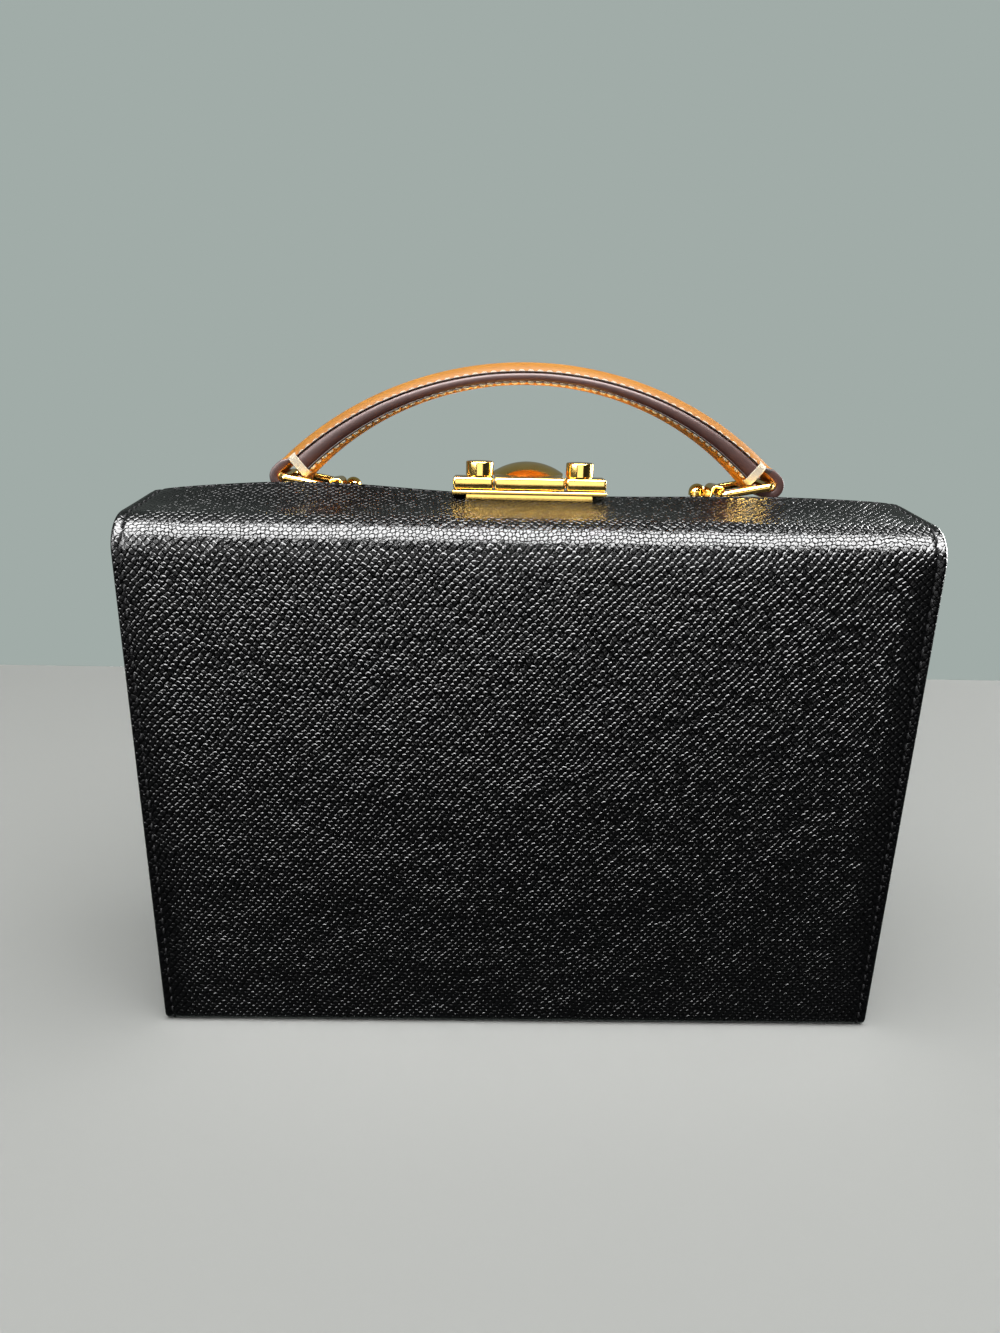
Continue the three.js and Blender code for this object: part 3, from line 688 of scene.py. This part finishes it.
def handle_lower():
    """The lower leather, crowned downwards, more so towards both ends."""
    path = arch_line(CORE_DEPTH + CORE_THICKNESS, CORE_SWELL, CORE_REACH + 0.4)
    stations = close_ends(np.linspace(0, length_of(path), 100))
    crown = LOWER_CROWN + LOWER_SWELL * end_share(stations)
    points, run, on_edge = strap(path, stations, HANDLE_WIDTH - 0.1, -crown, 0.0, 0.3, 1.0, bulge=0.2)
    # The lower leather's edges get the painted groove shade where they meet the core.
    finish_piece("handle_lower_leather", "far_half", ["handle_lower"],
                 [(points, run, np.where(on_edge, 1, 0), False, True)], [TAN, GROOVE_SHADE_EDGE])


def seam(depth, swell, thickness, edge_share, inset, pitch, length, radius):
    """Two rows of saddle stitches on a crowned face of the handle; a negative thickness faces down."""
    path = arch_line(depth, swell, CORE_REACH - 1.6)
    total = length_of(path)
    count = round(total / pitch)
    stations = (np.arange(count) + 0.5) * total / count
    place, tangent = walk(path, stations)
    eta = 1 - inset / (HANDLE_WIDTH / 2)
    height = thickness(stations) * crown_shape(eta, edge_share, 1.0)
    outward = np.sign(height[0])
    normal = np.stack([-tangent[:, 1], np.zeros(count), tangent[:, 0]], 1)
    heading = np.stack([tangent[:, 0], np.zeros(count), tangent[:, 1]], 1)
    grids = []
    for hand in (-1, 1):
        y = HANDLE_BACK + hand * (HANDLE_WIDTH / 2 - inset)
        centres = np.stack([place[:, 0], np.full(count, y), place[:, 1]], 1) + normal * height[:, None]
        lean = normal * outward + np.array([0, hand * 0.5, 0])
        lean /= np.linalg.norm(lean, axis=1, keepdims=True)
        slant = heading - hand * 0.14 * np.cross(heading, lean)
        grids += stitch_row(centres, slant, lean, length, radius)
    return grids


def handle_stitches():
    """Saddle stitches along both edges of the handle, fine ones above and stout ones below."""
    upper = seam(UPPER_THICKNESS, 0, lambda s: np.full(s.shape, UPPER_THICKNESS + UPPER_CROWN), EDGE_SHARE,
                 inset=0.55, pitch=2.35, length=1.8, radius=0.32)
    lower = seam(CORE_DEPTH + CORE_THICKNESS, CORE_SWELL,
                 lambda s: -(LOWER_CROWN + LOWER_SWELL * end_share(s)), 0.3,
                 inset=0.4, pitch=2.05, length=1.75, radius=0.42)
    finish_piece("handle_stitches", "far_half", [], upper + lower, [CREAM_THREAD])


def end_tacks():
    """A band of six threads laid side by side over each painted edge, at both ends of the handle."""
    grids = []
    edge = HANDLE_WIDTH / 2
    top, foot = ARCH_RADIUS - 1.55, ARCH_RADIUS - 6.9
    bend = np.array([
        [top + 0.55, edge - 1.5], [top + 0.35, edge - 0.5], [top - 0.15, edge + 0.3],
        [top - 1.0, edge + 0.45], [(top + foot) / 2, edge + 0.5], [foot + 0.9, edge + 0.45],
        [foot + 0.2, edge + 0.15], [foot - 0.2, edge - 0.7], [foot - 0.3, edge - 1.7]])
    for hand in (-1, 1):
        for side in (-1, 1):
            for thread in range(6):
                angle = math.radians(CORE_REACH - 0.75 + (thread - 2.5) * 0.22)
                axis = np.array([hand * math.sin(angle), 0, math.cos(angle)])
                middle = np.array([0, HANDLE_BACK, ARCH_Z]) + axis * bend[:, :1]
                grids.append(round_cord(middle + np.array([0, side, 0]) * bend[:, 1:], 0.21))
    finish_piece("handle_end_tacks", "far_half", [], grids, [CREAM_THREAD])


def round_cord(points, radius, closed=False, sides=8, normal=(0, 1, 0), smooth=4):
    """A round tube along points, first resampled on a Catmull-Rom curve; its ends are pinched shut.

    The tube's ring at each point is spanned by the fixed normal's part across the path and their cross
    product, so the path must not run along the normal for long.
    """
    if closed:
        wrapped = np.concatenate([points[-1:], points, points[:2]])
    else:
        wrapped = np.concatenate([2 * points[:1] - points[1:2], points, 2 * points[-1:] - points[-2:-1]])
    share = np.linspace(0, 1, smooth, endpoint=False)[:, None]
    p0, p1, p2, p3 = wrapped[:-3, None], wrapped[1:-2, None], wrapped[2:-1, None], wrapped[3:, None]
    curve = 0.5 * (2 * p1 + (p2 - p0) * share + (2 * p0 - 5 * p1 + 4 * p2 - p3) * share ** 2
                   + (3 * p1 - p0 - 3 * p2 + p3) * share ** 3)
    curve = curve.reshape(-1, 3)
    if not closed:
        curve = np.concatenate([curve, points[-1:]])
    if closed:
        tangent = np.roll(curve, -1, 0) - np.roll(curve, 1, 0)
    else:
        tangent = np.gradient(curve, axis=0)
    tangent /= np.linalg.norm(tangent, axis=1, keepdims=True)
    first = np.array(normal) - tangent * (tangent @ np.array(normal))[:, None]
    weak = np.linalg.norm(first, axis=1) < 0.15
    first[weak] = np.cross(tangent[weak], [1.0, 0, 0.3])
    first /= np.linalg.norm(first, axis=1, keepdims=True)
    second = np.cross(tangent, first)
    turn = np.radians(np.arange(sides) * 360 / sides)
    ring = np.cos(turn)[None, :, None] * first[:, None] + np.sin(turn)[None, :, None] * second[:, None]
    size = np.full(len(curve), radius)
    if not closed:
        size[0] = size[-1] = 0
    points = curve[:, None] + ring * size[:, None, None]
    along = np.arange(len(curve)) * 0.3
    run = np.stack([np.broadcast_to(along[:, None], points.shape[:2]),
                    np.broadcast_to(turn[None, :] / 3, points.shape[:2]), np.zeros(points.shape[:2])], -1)
    return points, run, 0, closed, True


# Brass

def rounded_box(low, high, radius):
    """A box with all its edges and corners rounded.

    Each corner is an eighth of a sphere; the rows and columns are doubled where the sphere's halves part,
    and the flat faces open up between them.
    """
    low, high = np.array(low, float), np.array(high, float)
    middle, half = (low + high) / 2, (high - low) / 2 - radius
    rise = np.concatenate([np.linspace(-90, 0, 5), np.linspace(0, 90, 5)])
    up = np.concatenate([np.full(5, -1.0), np.full(5, 1.0)])
    turn = np.concatenate([np.linspace(q * 90, q * 90 + 90, 5) for q in range(4)])
    sx = np.repeat([1.0, -1, -1, 1], 5)
    sy = np.repeat([1.0, 1, -1, -1], 5)
    rise, turn = np.radians(rise), np.radians(turn)
    points = np.empty((12, 20, 3))
    points[1:-1, :, 0] = sx * half[0] + radius * np.cos(rise)[:, None] * np.cos(turn)
    points[1:-1, :, 1] = sy * half[1] + radius * np.cos(rise)[:, None] * np.sin(turn)
    points[1:-1, :, 2] = (up * half[2] + radius * np.sin(rise))[:, None]
    points[0] = (0, 0, -half[2] - radius)
    points[-1] = (0, 0, half[2] + radius)
    return points + middle, np.zeros(3), 0, False, True


def turned(profile, centre, sides=64, axis="z"):
    """A turned piece: a profile of (radius, distance along the axis) spun about an axis through centre."""
    profile = np.array(profile, float)
    turn = np.radians(np.arange(sides) * 360 / sides)
    ring = np.stack([np.cos(turn), np.sin(turn)], 1)
    points = np.empty((len(profile), sides, 3))
    order = {"z": (0, 1, 2), "x": (1, 2, 0)}[axis]
    points[..., order[0]] = profile[:, :1] * ring[None, :, 0]
    points[..., order[1]] = profile[:, :1] * ring[None, :, 1]
    points[..., order[2]] = profile[:, 1:]
    return points + np.array(centre), np.zeros(3), 0, False, True


def rod(radius, x0, x1, y, z, rounding=0.25):
    """A rod along X with rounded ends."""
    end = circle_arc((radius - rounding, 0), rounding, -90, 0, 5)
    low = end + [0, x0 + rounding]
    high = end[::-1] * [1, -1] + [0, x1 - rounding]
    profile = np.concatenate([[[0, x0]], low, high, [[0, x1]]])
    return turned(profile, (0, y, z), 32, "x")


def brass_piece(name, body, nodes, grids):
    return finish_piece(name, body, nodes, grids, [BRASS])


def node_box(name):
    """A CAD node's corners in millimetres."""
    return [np.array(corner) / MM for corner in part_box(name)]


def clasp_base():
    """Base plate with a wider, thinner deck on it."""
    low, high = node_box("clasp_base")
    deck_low = high[2] - 1.0
    plate = rounded_box((-15.8, -5.6, low[2] - 0.5), (15.8, high[1], deck_low + 0.3), 0.2)
    deck = rounded_box((low[0], low[1], deck_low), high, 0.3)
    brass_piece("clasp_base_brass", "near_half", ["clasp_base"], [plate, deck])


def clasp_slide(name, hand):
    """An outer piece of the clasp's bar with its round knob."""
    low, high = node_box(name)
    bar_top = high[2] - KNOB_HEIGHT
    bar = rounded_box((low[0], low[1], low[2]), (high[0], -PARTING, bar_top), 0.62)
    knob_x = (low[0] if hand > 0 else high[0]) + hand * 3.42
    rim = circle_arc((3.05, high[2] - 0.35), 0.35, 0, 90, 6)
    profile = np.concatenate([
        [[0, bar_top - 0.4], [3.1, bar_top - 0.4], [3.15, bar_top + 0.25], [3.4, bar_top + 0.4]], rim,
        [[1.2, high[2] + 0.04], [0, high[2] + 0.05]]])
    knob = turned(profile, (knob_x, -3.6, 0))
    brass_piece(f"{name}_brass", name, [name], [bar, knob])


def hasp():
    """The middle of the bar, the plate behind it with its polished dome, and the knuckle on its pin."""
    low, high = node_box("hasp")
    bar_top = high[2] - DOME_RISE
    front, rear = low[1], high[1]
    nose = rounded_box((-8.7, front, bar_top - 2.9), (8.7, 0.3, bar_top), 0.55)
    plate = rounded_box((-8.7, -0.6, bar_top - 2.2), (8.7, DOME_BACK + DOME_RADIUS, bar_top), 0.4)
    ball = (DOME_RADIUS ** 2 + DOME_RISE ** 2) / (2 * DOME_RISE)
    rim = math.degrees(math.acos(DOME_RADIUS / ball))
    cap = circle_arc((0, high[2] - ball), ball, rim, 90, 24)
    profile = np.concatenate([[[0, bar_top - 0.5], [DOME_RADIUS, bar_top - 0.5]], cap])
    profile[-1, 0] = 0
    dome = turned(profile, (0, DOME_BACK, 0), 96)
    knuckle_z = low[2] + 1.6
    arm = rounded_box((-5.0, 15.8, knuckle_z - 0.2), (5.0, rear - 0.9, bar_top - 0.2), 0.4)
    barrel = rod(1.6, -5.0, 5.0, rear - 1.6, knuckle_z)
    brass_piece("hasp_brass", "hasp", ["hasp"], [nose, plate, dome, arm, barrel])


def catch_plate():
    """A thin plate on the far top panel with two ears that hold the hasp's pin."""
    low, high = node_box("catch_plate")
    pin_y, pin_z = high[1] - 1.6, high[2] - 1.6
    plate = rounded_box((low[0], 0.5, -0.45), (high[0], high[1], 0.45), 0.3)
    points = plate[0].copy()
    points[..., 2] += top_height(points[..., 1]) + 0.75
    grids = [(points,) + plate[1:]]
    for hand in (-1, 1):
        x0, x1 = sorted((hand * 5.3, hand * 8.3))
        grids.append(rod(1.6, x0, x1, pin_y, pin_z))
        grids.append(rounded_box((x0, pin_y - 1.5, low[2] + 0.6), (x1, pin_y + 1.5, pin_z), 0.3))
        grids.append(turned([[0, hand * 8.9], [0.7, hand * 8.8], [1.1, hand * 8.45], [1.1, hand * 8.2],
                             [0, hand * 8.2]], (0, pin_y, pin_z), 24, "x"))
    brass_piece("catch_plate_brass", "far_half", ["catch_plate", "hasp_pin"], grids)


def ring(name):
    """A ring of round bar bent to a rounded rectangle, tilted up from its mount to the handle's loop."""
    low, high = node_box(name)
    bar = 1.0
    hand = 1 if low[0] > 0 else -1
    reach = abs(low[0]) if hand > 0 else abs(high[0])
    far = abs(high[0]) if hand > 0 else abs(low[0])
    start = np.array([reach + bar, low[2] + bar])
    end = np.array([far - bar, high[2] - bar])
    half_width = (high[1] - low[1]) / 2 - bar
    length = np.linalg.norm(end - start)
    corner = 1.9
    corner_x, corner_y = length / 2 - corner, half_width - corner
    flat = np.concatenate([
        circle_arc((sx * corner_x, sy * corner_y), corner, turn, turn + 90, 7)
        for sx, sy, turn in ((1, 1, 0), (-1, 1, 90), (-1, -1, 180), (1, -1, 270))])
    along = (end - start) / length
    middle = (start + end) / 2
    x = hand * (middle[0] + along[0] * flat[:, 0])
    z = middle[1] + along[1] * flat[:, 0]
    path = np.stack([x, HANDLE_BACK + flat[:, 1], z], 1)
    up = (-hand * along[1], 0, along[0])
    grid = round_cord(path, bar + 0.05, closed=True, sides=20, normal=up, smooth=3)
    brass_piece(f"{name}_brass", "far_half", [name], [grid])


def ring_mount(name):
    """A strip of brass bent to a peak over the ring's inner bar, with a foot on each side."""
    low, high = node_box(name)
    hand = 1 if low[0] > 0 else -1
    inner = abs(low[0]) if hand > 0 else abs(high[0])
    outer = abs(high[0]) if hand > 0 else abs(low[0])
    sheet = 0.8
    outline = np.array([
        [inner + 0.1, low[2] - 0.3], [inner + 0.65, high[2] - sheet], [inner + 1.4, high[2] - sheet * 0.55],
        [inner + 3.2, high[2] - sheet * 0.9], [outer - 2.2, low[2] + 1.6], [outer - 1.6, low[2] + 0.25],
        [outer, low[2] + 0.1]])
    path = outline * [hand, 1]
    path = path if hand > 0 else path[::-1]
    stations = close_ends(np.linspace(0, length_of(path), 40))
    points, run, _ = strap(path, stations, 7.0, -0.4, 0.4, 1.0, 0.0, end_round=0.4)
    brass_piece(f"{name}_brass", "far_half", [name], [(points, run, 0, False, True)])


def mount_stud(name):
    """A domed screw head on a short neck."""
    low, high = node_box(name)
    centre = (low + high) / 2
    radius = (high[0] - low[0]) / 2
    head = circle_arc((0, high[2] - radius), radius, 0, 90, 14)
    head[-1, 0] = 0
    profile = np.concatenate([[[0, low[2] - 0.4], [radius - 0.5, low[2] - 0.4],
                               [radius - 0.45, low[2] + 0.7], [radius, low[2] + 0.95]], head])
    brass_piece(f"{name}_brass", "far_half", [name], [turned(profile, (centre[0], centre[1], 0))])


def bottom_hinge():
    """The rod along the bottom, with a fine groove between its knuckles."""
    low, high = node_box("bottom_hinge")
    radius = (high[2] - low[2]) / 2
    bevel, cut = 0.2, 0.25
    ends = np.linspace(low[0], high[0], 16)
    profile = [[0, low[0]], [radius - bevel, low[0]], [radius, low[0] + bevel]]
    for x in ends[1:-1]:
        profile += [[radius, x - cut], [radius - cut, x - 0.08], [radius - cut, x + 0.08], [radius, x + cut]]
    profile += [[radius, high[0] - bevel], [radius - bevel, high[0]], [0, high[0]]]
    brass_piece("bottom_hinge_brass", "far_half", ["bottom_hinge"],
                [turned(profile, (0, 0, (low[2] + high[2]) / 2), 24, "x")])


# Camera, floor and light

def make_camera():
    pitch, yaw, roll = (math.radians(a) for a in (CAMERA_PITCH, CAMERA_YAW, CAMERA_ROLL))
    forward = Vector((math.sin(yaw) * math.cos(pitch), math.cos(yaw) * math.cos(pitch), -math.sin(pitch)))
    right = Vector((math.cos(yaw), -math.sin(yaw), 0))
    down = forward.cross(right)
    cos, sin = math.cos(roll), math.sin(roll)
    right, down = right * cos + down * sin, down * cos - right * sin
    data = bpy.data.cameras.new("photo_camera")
    data.sensor_width = SENSOR
    data.lens = FOCAL_PIXELS * SENSOR / FRAME_HEIGHT
    data.clip_start = 0.01
    camera = bpy.data.objects.new("photo_camera", data)
    bpy.context.scene.collection.objects.link(camera)
    turn = Matrix((right, -down, -forward)).transposed()
    camera.matrix_world = Matrix.Translation(Vector(CAMERA_PLACE) * MM) @ turn.to_4x4()
    bpy.context.scene.camera = camera


def make_floor():
    """A pale floor that ends 0.28 m behind the parting plane.

    It throws no light back and stays out of reflections, so that the black leather keeps its depth.
    """
    mesh = bpy.data.meshes.new("floor")
    side, front, back = 1.6, -1.6, 0.28
    mesh.from_pydata([(-side, front, 0), (side, front, 0), (side, back, 0), (-side, back, 0)], [],
                     [(0, 1, 2, 3)])
    floor = bpy.data.objects.new("floor", mesh)
    bpy.context.scene.collection.objects.link(floor)
    material, tree, shader = new_material("pale_floor")
    shader.inputs["Base Color"].default_value = linear("#B9BAB7")
    shader.inputs["Roughness"].default_value = 0.9
    shader.inputs["Specular IOR Level"].default_value = 0.05
    mesh.materials.append(material)
    floor.visible_diffuse = False
    floor.visible_glossy = False


def area_light(name, place, target, size, power, matt=True, glossy=True):
    """A rectangular light that faces target.

    matt says whether it lights matt surfaces, and glossy whether it shows in reflections.
    """
    data = bpy.data.lights.new(name, "AREA")
    data.shape = "RECTANGLE"
    data.size, data.size_y = size
    data.energy = power
    light = bpy.data.objects.new(name, data)
    bpy.context.scene.collection.objects.link(light)
    light.visible_diffuse = matt
    light.visible_glossy = glossy
    light.location = place
    light.rotation_mode = "QUATERNION"
    light.rotation_quaternion = (Vector(place) - Vector(target)).to_track_quat("Z", "Y")


def make_world():
    """A plain pale room: the camera sees one grey-green, and what is lit sees it darker in front."""
    world = bpy.data.worlds.new("plain_room")
    bpy.context.scene.world = world
    world.use_nodes = True
    tree = world.node_tree
    background = tree.nodes["Background"]
    backdrop = linear("#A1ACA8")
    direction = add_node(tree, "ShaderNodeSeparateXYZ",
                         {0: add_node(tree, "ShaderNodeTexCoord").outputs["Generated"]})
    depth = add_node(tree, "ShaderNodeMapRange", {
        "Value": direction.outputs["Y"], "From Min": -0.5, "From Max": 0.5},
        interpolation_type="SMOOTHSTEP")
    room = mix_colours(tree, depth.outputs[0], linear("#2A2C2B"), linear("#747B77"))
    seen = add_node(tree, "ShaderNodeLightPath").outputs["Is Camera Ray"]
    tree.links.new(mix_colours(tree, seen, room, backdrop), background.inputs["Color"])


def make_light():
    """Two soft boxes for the whole bag, and three that only put the shine on the leather and the brass."""
    make_world()
    area_light("box_above", (0.1, -0.45, 1.5), (0, 0, 0.1), (2.0, 1.4), 30, glossy=False)
    area_light("box_low_front", (0.0, -1.4, 0.22), (0, 0, 0.14), (1.2, 0.5), 3.6)
    area_light("shine_above", (0.0, -0.4, 1.09), (0, -0.03, 0.1), (1.6, 0.84), 168, matt=False)
    area_light("shine_left", (-0.85, -0.62, 0.45), (0, 0, 0.08), (0.9, 0.5), 22, matt=False)
    area_light("shine_behind", (1.0, 0.5, 0.3), (0, 0, 0.08), (0.8, 0.5), 30, matt=False)
    bpy.context.scene.view_settings.view_transform = "Standard"


make_camera()
build_shell("near", "near_half", -1)
build_shell("far", "far_half", 1)
bottom_hinge()
clasp_base()
clasp_slide("left_slide", -1)
clasp_slide("right_slide", 1)
hasp()
catch_plate()
handle_upper()
handle_core()
handle_lower()
handle_stitches()
end_tacks()
for hand_name in ("left", "right"):
    ring(f"{hand_name}_ring")
    ring_mount(f"{hand_name}_ring_mount")
    mount_stud(f"{hand_name}_mount_stud")
make_floor()
make_light()
